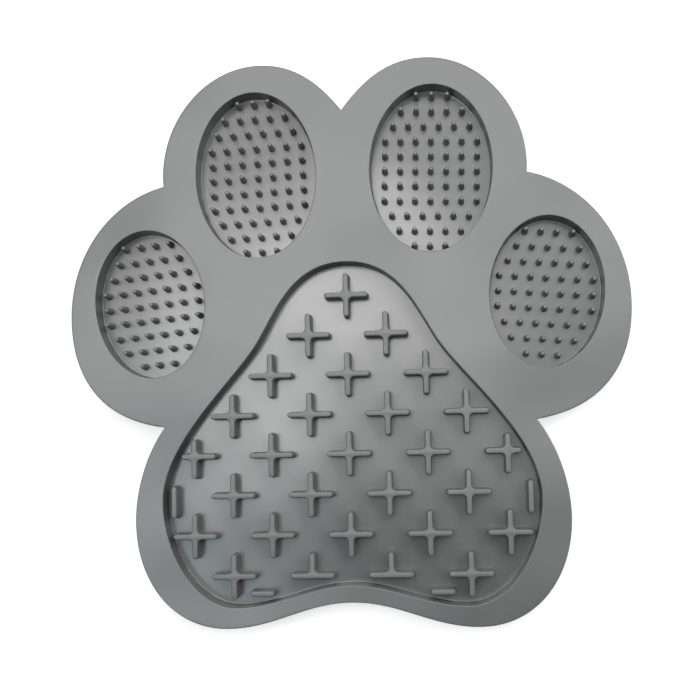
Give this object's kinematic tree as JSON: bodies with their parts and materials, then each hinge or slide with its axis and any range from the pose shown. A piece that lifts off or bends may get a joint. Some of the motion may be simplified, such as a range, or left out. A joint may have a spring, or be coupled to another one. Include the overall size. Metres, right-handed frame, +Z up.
{
  "type": "lick mat",
  "caption": "Paw shaped silicone lick mat with studded toe pockets, a palm pocket with plus shaped ridges and bars, and suction cups underneath.",
  "frame": {"origin": "middle of the footprint, on the plane that the mat stands on", "axes": "+Z up from the sole towards the deck, +Y from the heel towards the inner toes, +X to the right seen from above"},
  "size_m": [0.211, 0.213, 0.0135],
  "materials": {
    "mat_silicone": "satin",
    "cup_silicone": "satin"
  },
  "bodies": {
    "root": {"mat_body": "mat_silicone", "palm_floor": "mat_silicone", "outer_left_floor": "mat_silicone", "inner_left_floor": "mat_silicone", "inner_right_floor": "mat_silicone", "outer_right_floor": "mat_silicone", "outer_left_studs": "mat_silicone", "inner_left_studs": "mat_silicone", "inner_right_studs": "mat_silicone", "outer_right_studs": "mat_silicone", "palm_ridges": "mat_silicone", "palm_bars": "mat_silicone", "cup_outer_left_toe": "cup_silicone", "cup_inner_left_toe": "cup_silicone", "cup_inner_right_toe": "cup_silicone", "cup_outer_right_toe": "cup_silicone", "cup_palm_top": "cup_silicone", "cup_palm_left": "cup_silicone", "cup_palm_right": "cup_silicone", "cup_palm_middle": "cup_silicone", "cup_heel_left": "cup_silicone", "cup_heel_right": "cup_silicone"}
  },
  "joints": []
}
